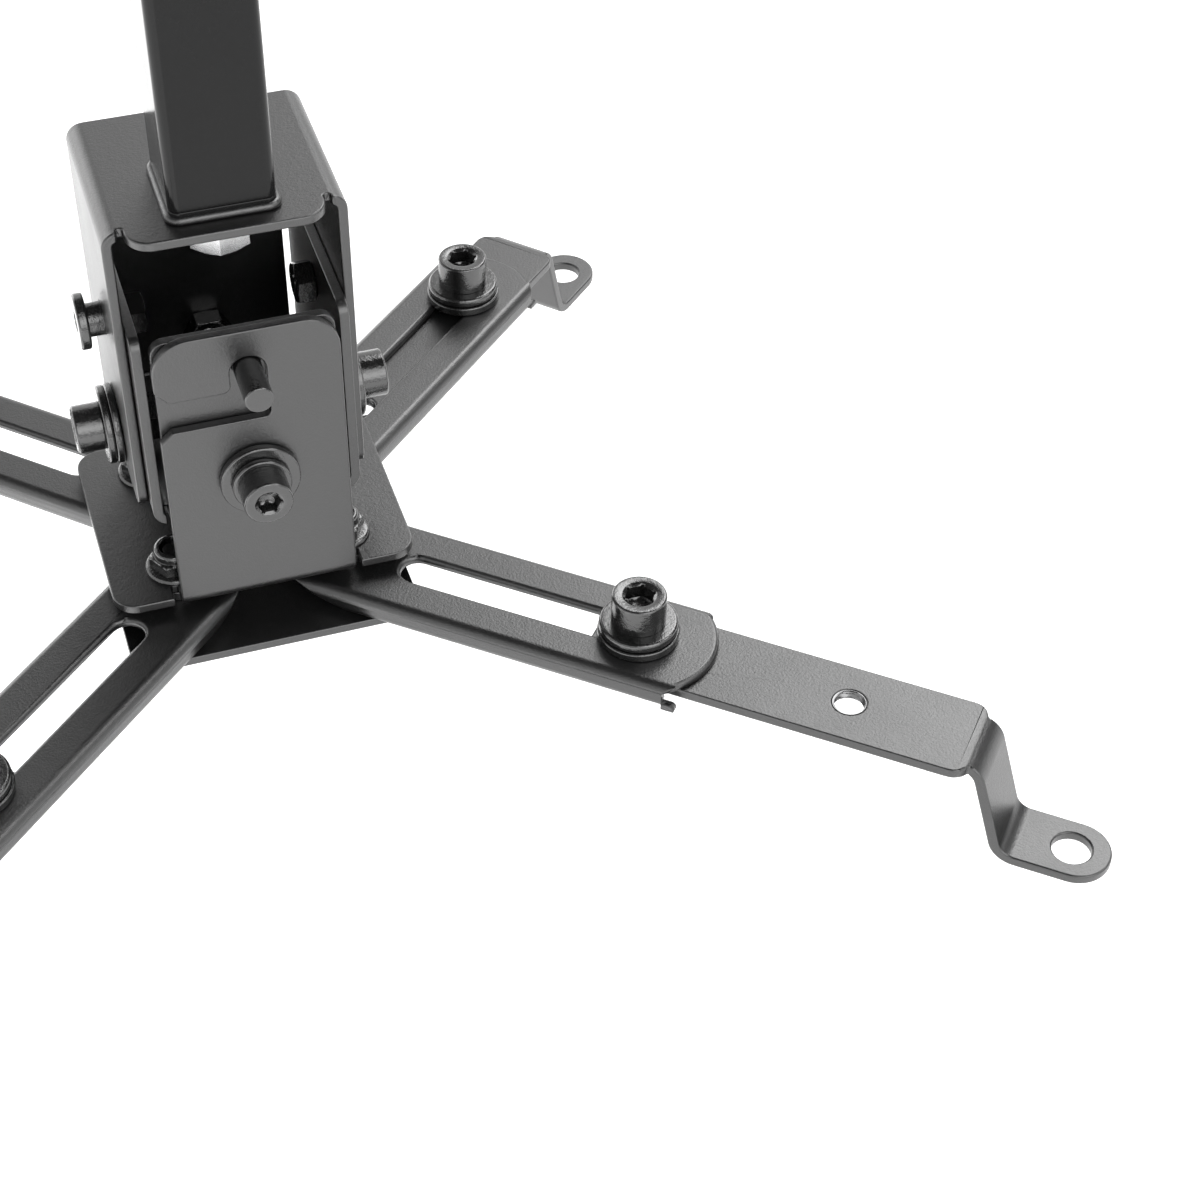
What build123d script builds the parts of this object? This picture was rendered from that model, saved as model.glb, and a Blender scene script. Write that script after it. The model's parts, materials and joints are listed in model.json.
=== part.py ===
from build123d import *
import math
import os

# Projector ceiling mount. The origin is the centre of the ceiling plate's top face, +Z is up,
# and everything hangs below it. Sizes are in millimetres and angles in degrees.

# Ceiling plate and column
ceiling_plate_side = 100.0
ceiling_plate_thick = 3.0
ceiling_plate_corner = 8.0
ceiling_hole_pitch = 80.0
ceiling_hole_radius = 3.25
column_side = 18.0
column_wall = 1.5
column_corner = 1.8
column_length = 110.0
column_end_thick = 2.0

# Gaps between pieces that slide or turn on each other, and inside holes
slide_gap = 0.10
face_gap = 0.05
running_fit = 0.05
washer_fit = 0.20
riveted_fit = 0.02
slot_play = 0.15

# The tilting head is measured up from the top of the base plate
bracket_sheet = 1.8
bracket_bend = 1.2
head_setback = 8.0
tilt_axis_height = 47.6
roll_axis_rise = 1.9
tilt_bolt_drop = 23.3
roll_bolt_drop = 23.5
swing_limit = 8.0
swing_margin = 0.5

# Cross bracket: a cross-shaped blank with its four arms folded up
cross_width = 37.4
cross_depth = 44.4
cross_side_tab_width = 41.0
cross_front_tab_width = 31.6
cross_floor_drop = 31.8
cross_side_tab_rise = 8.4
cross_front_tab_rise = 7.0
cross_tab_corner = 2.5

# Yoke: an upside-down U over the cross bracket, with a tongue at its front
yoke_rise = 28.1
yoke_drop = 30.9
yoke_front = 16.5
yoke_back = 18.0
yoke_bottom_corner = 3.5
tongue_reach = 4.5
tongue_width = 33.4
tongue_corner = 4.5
relief_notch = 1.2
corner_relief = 0.7

# Lower bracket: base plate with a hook tab folded up at the front and at the back
base_width = 56.0
base_depth = 45.6
base_corner = 4.5
hook_width = 32.3
hook_rise = 7.9
hook_corner = 6.5
hook_slot_width = 6.4
hook_slot_drop = 7.6
hook_slot_corner = 1.5
hook_slot_end_corner = 1.1
hook_mouth_lead = 2.2
hook_mouth_upper_flare = 2.6
hook_mouth_lower_flare = 2.0
hook_pin_radius = 2.5
hook_pin_reach = 8.9
hook_pin_head_radius = 4.0
hook_pin_head_thick = 1.2

# Bottom plate and the stack on each arm pivot
bottom_width = 54.0
bottom_depth = 58.8
bottom_corner = 4.0
pivot_x = 15.5
pivot_y = 14.0
spacer_radius = 5.5
spacer_thick = 1.95

# Arms: channels with their lips folded inward
arm_sheet = 1.5
arm_bend = 0.5
arm_width = 22.8
arm_height = 5.2
arm_lip = 4.0
arm_length = 74.5
arm_end_bulge = 5.8
arm_toe_reach = 2.4
arm_toe_height = 1.2
arm_lip_set_back = 4.0
arm_taper_start = -3.0
arm_taper_end = 9.0
arm_slot_width = 6.5
arm_slot_start = 12.5
arm_slot_margin = 11.3
arm_angles = {"front_right": -40.5, "front_left": 223.4, "back_right": 43.3, "back_left": 136.2}

# Extension feet: flat strips that slide in the arms, with a joggled foot
strip_thick = 2.0
strip_width = 17.8
strip_corner = 3.0
strip_inner_end = 8.3
strip_hole_pitch = 40.25
strip_shoulder = 64.0
foot_width = 13.0
foot_drop = 19.8
foot_bend = 3.2
joggle_start = 66.3
joggle_end = 72.2
foot_hole = 83.5
foot_hole_radius = 3.6
foot_length = 90.7
extended_by = {"front_right": 0, "front_left": 0, "back_right": 1, "back_left": 0}

# Fasteners: socket screws of two sizes, washers and nuts
m5_radius = 2.5
m5_head_radius = 4.35
m5_head_height = 5.0
m5_socket = 4.0
m5_nut_width = 8.0
m5_nut_thick = 4.0
m6_radius = 3.0
m6_head_radius = 5.0
m6_head_height = 6.0
m6_socket = 5.0
m6_nut_width = 10.0
head_chamfer = 0.4
socket_share = 0.55
thread_stub = 0.9
arm_upper_washer_radius = 7.25
arm_upper_washer_thick = 2.0
arm_lower_washer_radius = 7.5
arm_lower_washer_thick = 1.8
tilt_large_washer_radius = 7.3
tilt_small_washer_radius = 7.15
tilt_washer_thick = 1.45
roll_large_washer_radius = 7.15
roll_small_washer_radius = 5.25
roll_large_washer_thick = 1.6
roll_small_washer_thick = 1.3
pivot_disc_radius = 5.0
pivot_disc_thick = 1.9
pivot_shoulder_radius = 3.0
pivot_stand_off = {"left": 2.7, "right": 0.15}
pivot_thread_radius = 2.0
pivot_nut_width = 7.0
pivot_nut_thick = 3.5
swivel_washer_radius = 6.0
swivel_washer_thick = 1.5
swivel_head_thick = 4.0
swivel_nut_thick = 7.0
flange_nut_radius = 5.5
flange_nut_flange = 1.0
flange_nut_hex = 3.3
flange_nut_height = 5.0
flange_nut_collar_radius = 3.6
arm_bolt_head_radius = 4.75
arm_bolt_head_height = 2.7
arm_bolt_socket = 3.0
arm_bolt_set_back = 0.8

# Levels worked out from the sizes above, from the top of the base plate
roll_axis_height = tilt_axis_height + roll_axis_rise
yoke_top = tilt_axis_height + yoke_rise
yoke_bottom = tilt_axis_height - yoke_drop
cross_floor = tilt_axis_height - cross_floor_drop
tilt_bolt_height = tilt_axis_height - tilt_bolt_drop
roll_bolt_height = roll_axis_height - roll_bolt_drop
hook_top = roll_axis_height + hook_rise
cross_inside_x = cross_width / 2 - bracket_sheet
cross_inside_y = cross_depth / 2 - bracket_sheet
yoke_inside = cross_width / 2 + slide_gap
yoke_outside = yoke_inside + bracket_sheet
hook_inside = cross_depth / 2 + slide_gap
hook_outside = hook_inside + bracket_sheet
web_top = -bracket_sheet - spacer_thick - face_gap
web_bottom = web_top - arm_sheet
arm_bottom = web_top - arm_height
strip_top = web_bottom - slide_gap
bottom_plate_top = arm_bottom - face_gap
bottom_plate_bottom = bottom_plate_top - bracket_sheet

arm_slot_end = arm_length - arm_slot_margin
screw_station = arm_slot_end - arm_slot_width / 2 - slot_play

# Places: the swivel axis is the column's, and the head stands a little behind it
column_bottom = -ceiling_plate_thick - column_length
column_foot = column_bottom - column_end_thick
base_level = column_foot - face_gap - yoke_top
head = Location((0, head_setback, base_level))
swivel = Location((0, -head_setback, 0))


def write(name, solid):
    """Write one piece, or one group of like pieces, to its own file."""
    export_step(solid, os.path.join("parts", name + ".step"))


def folded(plane, face_line, radii, thick, width):
    """A sheet folded along a line on its outer face. It lies right of the line, centred on the plane."""
    line = FilletPolyline(*face_line, radius=radii)
    section = Face(Wire(line.edges()).offset_2d(thick, side=Side.RIGHT, closed=True))
    return extrude(plane.offset(-width / 2) * section, amount=width, dir=plane.z_dir)


def upturned_tab(wall, low, top, corner, width):
    """A tab folded up at the back of a floor, from where the floor is cut to its rounded top."""
    line = [(wall, top), (wall, low), (floor_cut(wall), low)]
    tab = folded(Plane.YZ, line, bracket_bend + bracket_sheet, bracket_sheet, width)
    return fillet(tab.edges().filter_by(Axis.Y).group_by(Axis.Z)[-1], corner)


def floor_cut(wall):
    """How far from the middle a floor is cut back for the bend of a tab with its face at the wall."""
    return wall - bracket_bend - 2 * bracket_sheet


def arc_slot(radius, width, half_angle):
    """A slot bent round the origin, centred straight below it, to be placed on a wall."""
    middle = CenterArc((0, 0), radius, 270 - half_angle, 2 * half_angle)
    band = trace(middle, line_width=width)
    ends = Sketch()
    for angle in (270 - half_angle, 270 + half_angle):
        ends += PolarLocations(radius, 1, start_angle=angle) * Circle(width / 2)
    return band + ends


def washer(radius, bore, thick):
    """A flat washer standing on the ground plane."""
    ring = Cylinder(radius, thick, align=(Align.CENTER, Align.CENTER, Align.MIN))
    ring -= Cylinder(bore, thick, align=(Align.CENTER, Align.CENTER, Align.MIN))
    rims = ring.edges().filter_by(GeomType.CIRCLE)
    return chamfer(rims.sort_by(lambda rim: rim.radius)[-2:], min(0.2, thick / 5))


def hex_nut(width, thick, bore):
    """A hexagon nut standing on the ground plane, with its corners turned off at both ends."""
    nut = extrude(RegularPolygon(width / 2, 6, major_radius=False), amount=thick)
    corner = width / 2 / math.cos(math.radians(30))
    turned = chamfer(Cylinder(corner, thick, align=(Align.CENTER, Align.CENTER, Align.MIN)).edges()
                     .filter_by(GeomType.CIRCLE), corner - width / 2)
    return (nut & turned) - Cylinder(bore, 4 * thick)


def socket_screw(shank, head_radius, head_height, socket, length):
    """A cap screw, its head standing on the ground plane and its shank reaching down."""
    crown = Cylinder(head_radius, head_height, align=(Align.CENTER, Align.CENTER, Align.MIN))
    crown = chamfer(crown.edges().group_by(Axis.Z)[-1], head_chamfer)
    hexagon = RegularPolygon(socket / 2, 6, major_radius=False)
    crown -= Pos(0, 0, head_height) * extrude(hexagon, amount=-head_height * socket_share)
    stem = Cylinder(shank, length, align=(Align.CENTER, Align.CENTER, Align.MAX))
    stem = chamfer(stem.edges().group_by(Axis.Z)[0], head_chamfer)
    return crown + stem


def flange_nut():
    """A locking nut: a flange, a hexagon and the round collar that holds its ring."""
    base = (Align.CENTER, Align.CENTER, Align.MIN)
    flange = Cylinder(flange_nut_radius, flange_nut_flange, align=base)
    hexagon = extrude(RegularPolygon(m5_nut_width / 2, 6, major_radius=False), amount=flange_nut_hex)
    collar = Cylinder(flange_nut_collar_radius, flange_nut_height, align=base)
    collar = fillet(collar.edges().group_by(Axis.Z)[-1], flange_nut_collar_radius / 4)
    return flange + hexagon + collar - Cylinder(m5_radius + running_fit, 4 * flange_nut_height)


def along_x(side):
    """Turn a fastener so that its head points out to the left (-1) or the right (1)."""
    return Rot(0, 90 * side, 0)


def along_y(side):
    """Turn a fastener so that its head points out to the front (-1) or the back (1)."""
    return Rot(-90 * side, 0, 0)


def ceiling_plate():
    side = ceiling_plate_side
    face = RectangleRounded(side, side, ceiling_plate_corner)
    holes = GridLocations(ceiling_hole_pitch, ceiling_hole_pitch, 2, 2) * Circle(ceiling_hole_radius)
    return extrude(face - holes, amount=-ceiling_plate_thick)


def column_tube():
    outer = RectangleRounded(column_side, column_side, column_corner)
    inner_side = column_side - 2 * column_wall
    inner = RectangleRounded(inner_side, inner_side, max(column_corner - column_wall, 0.2))
    return Pos(0, 0, -ceiling_plate_thick) * extrude(outer - inner, amount=-column_length)


def column_end_plate():
    face = RectangleRounded(column_side, column_side, column_corner)
    face -= Circle(m6_radius + running_fit)
    return Pos(0, 0, column_bottom) * extrude(face, amount=-column_end_thick)


def swivel_bolt():
    head_hex = extrude(RegularPolygon(m6_nut_width / 2, 6, major_radius=False), amount=swivel_head_thick)
    reach = (column_end_thick + face_gap + bracket_sheet + face_gap + swivel_washer_thick
             + swivel_nut_thick + thread_stub)
    stem = Cylinder(m6_radius, reach, align=(Align.CENTER, Align.CENTER, Align.MAX))
    stem = chamfer(stem.edges().group_by(Axis.Z)[0], head_chamfer)
    return Pos(0, 0, column_bottom) * (head_hex + stem)


def yoke():
    wall = yoke_outside
    line = [(-wall, yoke_bottom), (-wall, yoke_top), (wall, yoke_top), (wall, yoke_bottom)]
    depth = yoke_front + yoke_back
    middle = (yoke_back - yoke_front) / 2
    body = Pos(0, middle, 0) * folded(Plane.XZ, line, bracket_bend + bracket_sheet, bracket_sheet, depth)
    lower_edges = body.edges().filter_by(Axis.X).group_by(Axis.Z)[0]
    body = fillet(lower_edges, yoke_bottom_corner)
    reach = tongue_reach + yoke_front
    tongue = Pos(0, -reach / 2, 0) * Rectangle(tongue_width, reach)
    tongue = Pos(0, 0, yoke_top) * extrude(tongue, amount=-bracket_sheet)
    tongue = fillet(tongue.edges().filter_by(Axis.Z).group_by(Axis.Y)[0], tongue_corner)
    body += tongue
    notch = Box(relief_notch, 2 * relief_notch, 4 * bracket_sheet)
    for side in (-1, 1):
        edge = tongue_width / 2 + relief_notch / 2
        body -= Pos(side * edge, -yoke_front, yoke_top) * notch
    body -= swivel * Pos(0, 0, yoke_top) * Cylinder(m6_radius + running_fit, 4 * bracket_sheet)
    pivot = Cylinder(pivot_shoulder_radius + running_fit, 3 * yoke_outside)
    body -= Pos(0, 0, tilt_axis_height) * along_x(1) * pivot
    slot = arc_slot(tilt_bolt_drop, 2 * (m5_radius + slot_play), swing_limit + swing_margin)
    slot = Plane.YZ * Pos(0, tilt_axis_height) * slot
    return body - extrude(slot, amount=2 * yoke_outside, both=True)


def tilt_pivot_screw(side, stand_off):
    """A screw whose plain shoulder carries both walls, its round head standing off the yoke."""
    base = (Align.CENTER, Align.CENTER, Align.MIN)
    disc = Pos(0, 0, stand_off) * Cylinder(pivot_disc_radius, pivot_disc_thick, align=base)
    disc = fillet(disc.edges().filter_by(GeomType.CIRCLE), pivot_disc_thick / 4)
    under = 2 * bracket_sheet + 2 * slide_gap
    shoulder = Pos(0, 0, -under) * Cylinder(pivot_shoulder_radius, under + stand_off, align=base)
    thread = Cylinder(pivot_thread_radius, under + pivot_nut_thick, align=(Align.CENTER, Align.CENTER, Align.MAX))
    thread = chamfer(thread.edges().group_by(Axis.Z)[0], head_chamfer)
    return Pos(side * yoke_outside, 0, tilt_axis_height) * along_x(side) * (disc + shoulder + thread)


def cross_bracket():
    wall = cross_width / 2
    top = tilt_axis_height + cross_side_tab_rise
    line = [(wall, top), (wall, cross_floor), (-wall, cross_floor), (-wall, top)]
    body = folded(Plane.XZ, line, bracket_bend + bracket_sheet, bracket_sheet, cross_side_tab_width)
    body = fillet(body.edges().filter_by(Axis.X).group_by(Axis.Z)[-1], cross_tab_corner)
    wall = cross_depth / 2
    top = roll_axis_height + cross_front_tab_rise
    tab = upturned_tab(wall, cross_floor, top, cross_tab_corner, cross_front_tab_width)
    room = Box(cross_front_tab_width + 2 * corner_relief, cross_depth, 2 * bracket_sheet + bracket_bend,
               align=(Align.CENTER, Align.MIN, Align.CENTER))
    for turn in (0, 180):
        body -= Rot(0, 0, turn) * Pos(0, floor_cut(wall), cross_floor) * room
        body += Rot(0, 0, turn) * tab
    pivot = Cylinder(pivot_shoulder_radius + running_fit, 2 * cross_width)
    body -= Pos(0, 0, tilt_axis_height) * along_x(1) * pivot
    body -= Pos(0, 0, tilt_bolt_height) * along_x(1) * Cylinder(m5_radius + running_fit, 2 * cross_width)
    body -= Pos(0, 0, roll_axis_height) * along_y(1) * Cylinder(hook_pin_radius + riveted_fit, 2 * cross_depth)
    body -= Pos(0, 0, roll_bolt_height) * along_y(1) * Cylinder(m5_radius + running_fit, 2 * cross_depth)
    return body


def hook_pin(side):
    length = hook_outside + hook_pin_reach - cross_inside_y
    pin = Cylinder(hook_pin_radius, length, align=(Align.CENTER, Align.CENTER, Align.MIN))
    pin = fillet(pin.edges().group_by(Axis.Z)[-1], hook_pin_radius / 6)
    head_piece = Cylinder(hook_pin_head_radius, hook_pin_head_thick, align=(Align.CENTER, Align.CENTER, Align.MAX))
    return Pos(0, side * cross_inside_y, roll_axis_height) * along_y(side) * (pin + head_piece)


def tilt_bolt(side):
    """The lower side bolt, with its nut inside the cross bracket."""
    seat = yoke_outside + slide_gap + 2 * tilt_washer_thick
    length = seat - cross_inside_x + m5_nut_thick + thread_stub
    screw = socket_screw(m5_radius, m5_head_radius, m5_head_height, m5_socket, length)
    return Pos(side * seat, 0, tilt_bolt_height) * along_x(side) * screw


def roll_bolt(side):
    """The bolt below the hook, with its nut inside the cross bracket."""
    seat = hook_outside + slide_gap + roll_large_washer_thick + roll_small_washer_thick
    length = seat - cross_inside_y + m5_nut_thick + thread_stub
    screw = socket_screw(m5_radius, m5_head_radius, m5_head_height, m5_socket, length)
    return Pos(0, side * seat, roll_bolt_height) * along_y(side) * screw


def hook_slot():
    """The L-shaped slot that a hook pin enters from the left, seen from the front."""
    half = hook_slot_width / 2
    low = roll_axis_height - hook_slot_drop - half
    high = low + hook_slot_width
    top = roll_axis_height - half + hook_pin_radius + running_fit
    leg = Pos(0, (low + top) / 2) * Rectangle(hook_slot_width, top - low)
    edge = -hook_width / 2
    entry = Pos((edge + half) / 2, low + half) * Rectangle(half - edge, hook_slot_width)
    outline = leg + entry
    outline = fillet(outline.vertices().sort_by_distance((-half, high, 0))[0], hook_slot_corner)
    outline = fillet(outline.vertices().sort_by_distance((half, low, 0))[0], hook_slot_end_corner)
    start = edge + hook_mouth_lead
    mouth = Polyline((edge, high + hook_mouth_upper_flare), (start, high), (start, low),
                     (edge, low - hook_mouth_lower_flare), close=True)
    return outline + Pos(0, top) * Circle(half) + make_face(mouth)


def lower_bracket():
    body = extrude(RectangleRounded(base_width, base_depth, base_corner), amount=-bracket_sheet)
    tab = upturned_tab(hook_outside, -bracket_sheet, hook_top, hook_corner, hook_width)
    room = Box(hook_width + 2 * relief_notch, base_depth, 4 * bracket_sheet,
               align=(Align.CENTER, Align.MIN, Align.CENTER))
    for turn in (0, 180):
        body -= Rot(0, 0, turn) * Pos(0, floor_cut(hook_outside), 0) * room
        body += Rot(0, 0, turn) * tab
    body -= extrude(Plane.XZ * hook_slot(), amount=2 * hook_outside, both=True)
    slot = arc_slot(roll_bolt_drop, 2 * (m5_radius + slot_play), swing_limit + swing_margin)
    slot = Plane.XZ * Pos(0, roll_axis_height) * slot
    body -= extrude(slot, amount=2 * hook_outside, both=True)
    for place in pivot_places():
        body -= place * Cylinder(m5_radius + running_fit, 4 * bracket_sheet)
    return body


def bottom_plate():
    face = RectangleRounded(bottom_width, bottom_depth, bottom_corner)
    for place in pivot_places():
        face -= place * Circle(m5_radius + running_fit)
    return Pos(0, 0, bottom_plate_top) * extrude(face, amount=-bracket_sheet)


def pivot_places():
    return [Pos(x * pivot_x, y * pivot_y) for x in (-1, 1) for y in (-1, 1)]


def pivot_bolt():
    """An arm's pivot bolt, put in from below the bottom plate."""
    length = flange_nut_height - arm_bolt_set_back - bottom_plate_bottom
    screw = socket_screw(m5_radius, arm_bolt_head_radius, arm_bolt_head_height, arm_bolt_socket, length)
    return Pos(0, 0, bottom_plate_bottom) * Rot(180, 0, 0) * screw


def arm():
    """One arm along +X from its pivot, to be turned to its own angle."""
    side = arm_width / 2
    reach = side - arm_lip
    line = [(-reach, arm_bottom), (-side, arm_bottom), (-side, web_top),
            (side, web_top), (side, arm_bottom), (reach, arm_bottom)]
    run = arm_length + arm_width / 2
    middle = (arm_length - arm_width / 2) / 2
    body = Pos(middle, 0, 0) * folded(Plane.YZ, line, arm_bend + arm_sheet, arm_sheet, run)
    shoulder = arm_length - arm_end_bulge
    plan = Pos(shoulder / 2, 0) * Rectangle(shoulder, arm_width) + Circle(arm_width / 2)
    edge = arm_width / 2
    bulge = Line((shoulder, edge), (shoulder, -edge)) + ThreePointArc((shoulder, -edge), (arm_length, 0), (shoulder, edge))
    plan += make_face(bulge)
    body &= extrude(plan, amount=4 * arm_height, both=True)
    low = arm_bottom - arm_sheet
    taper = Polyline((-arm_width, web_bottom), (arm_taper_start, web_bottom), (arm_taper_end, arm_bottom),
                     (arm_taper_end, low), (-arm_width, low), close=True)
    body -= extrude(Plane.XZ * make_face(taper), amount=arm_width, both=True)
    body -= Pos(shoulder + arm_length / 2, 0, web_bottom) * Box(
        arm_length, 2 * arm_width, 4 * arm_height, align=(Align.CENTER, Align.CENTER, Align.MAX))
    lips = Box(arm_length, 2 * (side - arm_sheet), 2 * arm_sheet, align=(Align.MIN, Align.CENTER, Align.CENTER))
    body -= Pos(shoulder - arm_lip_set_back, 0, arm_bottom) * lips
    toe = Box(2 * arm_toe_reach, arm_sheet, arm_toe_height, align=(Align.CENTER, Align.CENTER, Align.MIN))
    toe = fillet(toe.edges().filter_by(Axis.Y).group_by(Axis.Z)[-1].sort_by(Axis.X)[-1], 0.75 * arm_toe_height)
    for edge in (-1, 1):
        body += Pos(shoulder, edge * (side - arm_sheet / 2), arm_bottom) * toe
    slot_middle = (arm_slot_start + arm_slot_end) / 2
    slot = Pos(slot_middle, 0) * SlotOverall(arm_slot_end - arm_slot_start, arm_slot_width)
    body -= extrude(slot, amount=4 * arm_height, both=True)
    return body - Cylinder(m5_radius + running_fit, 8 * arm_height)


def extension(inner_hole):
    """One extension foot along +X, with its inner threaded hole at the given distance."""
    level = strip_top
    low = level - foot_drop
    start = inner_hole - strip_inner_end
    tip = inner_hole + foot_length
    line = [(start, level), (inner_hole + joggle_start, level), (inner_hole + joggle_end, low), (tip, low)]
    body = folded(Plane.XZ, line, [foot_bend + strip_thick, foot_bend], strip_thick, strip_width)
    shoulder = inner_hole + strip_shoulder
    wide = Pos((start + shoulder) / 2, 0) * RectangleRounded(shoulder - start, strip_width, strip_corner)
    slim_run = tip - inner_hole
    slim = Pos(inner_hole + slim_run / 2, 0) * RectangleRounded(slim_run, foot_width, foot_width / 2 - 0.01)
    body &= extrude(wide + slim, amount=4 * foot_drop, both=True)
    for place in (inner_hole, inner_hole + strip_hole_pitch):
        body -= Pos(place, 0, 0) * Cylinder(m6_radius + running_fit, 4 * foot_drop)
    return body - Pos(inner_hole + foot_hole, 0, 0) * Cylinder(foot_hole_radius, 4 * foot_drop)


def arm_screw():
    seat = arm_lower_washer_thick + arm_upper_washer_thick
    length = seat + arm_sheet + slide_gap + strip_thick + thread_stub
    screw = socket_screw(m6_radius, m6_head_radius, m6_head_height, m6_socket, length)
    return Pos(0, 0, web_top + seat) * screw


def main():
    os.makedirs("parts", exist_ok=True)

    write("ceiling_plate", ceiling_plate())
    write("column_tube", column_tube())
    write("column_end_plate", column_end_plate())
    write("swivel_bolt", swivel_bolt())
    under_yoke = column_foot - face_gap - bracket_sheet - face_gap
    ring = washer(swivel_washer_radius, m6_radius + washer_fit, swivel_washer_thick)
    write("swivel_washer", Pos(0, 0, under_yoke - swivel_washer_thick) * ring)
    nut = hex_nut(m6_nut_width, swivel_nut_thick, m6_radius + running_fit)
    write("swivel_nut", Pos(0, 0, under_yoke - swivel_washer_thick - swivel_nut_thick) * nut)

    write("yoke", head * yoke())
    write("cross_bracket", head * cross_bracket())
    write("lower_bracket", head * lower_bracket())
    write("bottom_plate", head * bottom_plate())

    small_nut = hex_nut(m5_nut_width, m5_nut_thick, m5_radius + running_fit)
    pivot_nut = hex_nut(pivot_nut_width, pivot_nut_thick, pivot_thread_radius + running_fit)
    tilt_large = washer(tilt_large_washer_radius, m5_radius + washer_fit, tilt_washer_thick)
    tilt_small = washer(tilt_small_washer_radius, m5_radius + washer_fit, tilt_washer_thick)
    for name, side in (("left", -1), ("right", 1)):
        turn = along_x(side)
        nut_seat = cross_inside_x - m5_nut_thick
        write(name + "_tilt_pivot_screw", head * tilt_pivot_screw(side, pivot_stand_off[name]))
        pivot_seat = cross_inside_x - slide_gap - pivot_nut_thick
        write(name + "_tilt_pivot_nut", head * Pos(side * pivot_seat, 0, tilt_axis_height) * turn * pivot_nut)
        write(name + "_tilt_bolt", head * tilt_bolt(side))
        write(name + "_tilt_nut", head * Pos(side * nut_seat, 0, tilt_bolt_height) * turn * small_nut)
        wall = yoke_outside + slide_gap
        write(name + "_tilt_washer_large", head * Pos(side * wall, 0, tilt_bolt_height) * turn * tilt_large)
        write(name + "_tilt_washer_small",
              head * Pos(side * (wall + tilt_washer_thick), 0, tilt_bolt_height) * turn * tilt_small)

    roll_large = washer(roll_large_washer_radius, m5_radius + washer_fit, roll_large_washer_thick)
    roll_small = washer(roll_small_washer_radius, m5_radius + washer_fit, roll_small_washer_thick)
    for name, side in (("front", -1), ("back", 1)):
        turn = along_y(side)
        write(name + "_hook_pin", head * hook_pin(side))
        write(name + "_roll_bolt", head * roll_bolt(side))
        nut_seat = cross_inside_y - m5_nut_thick
        write(name + "_roll_nut", head * Pos(0, side * nut_seat, roll_bolt_height) * turn * small_nut)
        wall = hook_outside + slide_gap
        write(name + "_roll_washer_large", head * Pos(0, side * wall, roll_bolt_height) * turn * roll_large)
        write(name + "_roll_washer_small",
              head * Pos(0, side * (wall + roll_large_washer_thick), roll_bolt_height) * turn * roll_small)

    bolt = pivot_bolt()
    spacer = Pos(0, 0, -bracket_sheet - spacer_thick) * washer(spacer_radius, m5_radius + running_fit, spacer_thick)
    write("arm_pivot_bolts", Compound([head * place * bolt for place in pivot_places()]))
    write("arm_pivot_spacers", Compound([head * place * spacer for place in pivot_places()]))

    upper = washer(arm_upper_washer_radius, m6_radius + washer_fit, arm_upper_washer_thick)
    lower = washer(arm_lower_washer_radius, m6_radius + washer_fit, arm_lower_washer_thick)
    for name, angle in arm_angles.items():
        x_side = 1 if "right" in name else -1
        y_side = 1 if "back" in name else -1
        pivot = head * Pos(x_side * pivot_x, y_side * pivot_y, 0)
        turned = pivot * Rot(0, 0, angle)
        station = turned * Pos(screw_station, 0, 0)
        write(name + "_pivot_nut", pivot * flange_nut())
        write(name + "_arm", turned * arm())
        inner_hole = screw_station - extended_by[name] * strip_hole_pitch
        write(name + "_extension", turned * extension(inner_hole))
        write(name + "_arm_screw", station * arm_screw())
        write(name + "_lower_washer", station * Pos(0, 0, web_top) * lower)
        write(name + "_upper_washer", station * Pos(0, 0, web_top + arm_lower_washer_thick) * upper)


main()
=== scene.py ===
# %% [markdown]
# A projector ceiling mount, seen from above its tilting head. The real one is folded steel with a
# satin black powder coat, held by glossy black socket screws and one bright nut. The CAD model gives
# every piece its place and size, in metres, with the origin at the centre of the ceiling plate's top
# face. This file dresses it: rounded sheet edges, screws with sockets and threads, weld beads, and
# the finishes.

# %% Load the fixed frame
import json
import math

import bmesh
import bpy
from mathutils import Matrix, Vector


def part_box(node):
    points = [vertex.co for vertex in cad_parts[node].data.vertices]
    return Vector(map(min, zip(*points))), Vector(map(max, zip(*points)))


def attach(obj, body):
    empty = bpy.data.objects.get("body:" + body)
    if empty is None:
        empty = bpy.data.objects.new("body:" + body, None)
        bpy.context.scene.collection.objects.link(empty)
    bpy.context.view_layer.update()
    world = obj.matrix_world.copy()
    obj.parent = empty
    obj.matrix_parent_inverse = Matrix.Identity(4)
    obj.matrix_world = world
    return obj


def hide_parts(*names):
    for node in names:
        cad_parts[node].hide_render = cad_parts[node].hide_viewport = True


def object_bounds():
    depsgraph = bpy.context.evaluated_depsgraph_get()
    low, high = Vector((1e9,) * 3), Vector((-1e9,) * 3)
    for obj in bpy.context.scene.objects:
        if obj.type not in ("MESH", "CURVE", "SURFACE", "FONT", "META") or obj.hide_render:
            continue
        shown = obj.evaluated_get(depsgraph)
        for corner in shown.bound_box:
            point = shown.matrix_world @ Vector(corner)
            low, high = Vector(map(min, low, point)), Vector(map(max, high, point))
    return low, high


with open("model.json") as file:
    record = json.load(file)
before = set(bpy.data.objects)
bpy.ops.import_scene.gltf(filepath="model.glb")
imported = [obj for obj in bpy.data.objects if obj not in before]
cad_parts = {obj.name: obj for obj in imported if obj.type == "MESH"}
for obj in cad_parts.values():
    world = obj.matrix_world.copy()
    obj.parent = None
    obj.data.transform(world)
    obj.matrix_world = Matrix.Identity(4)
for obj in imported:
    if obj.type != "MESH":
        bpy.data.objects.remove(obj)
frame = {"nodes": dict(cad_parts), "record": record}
cad_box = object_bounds()
nodes = frame["nodes"]
MM = 0.001
print("frame:", len(nodes), "nodes")

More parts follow.
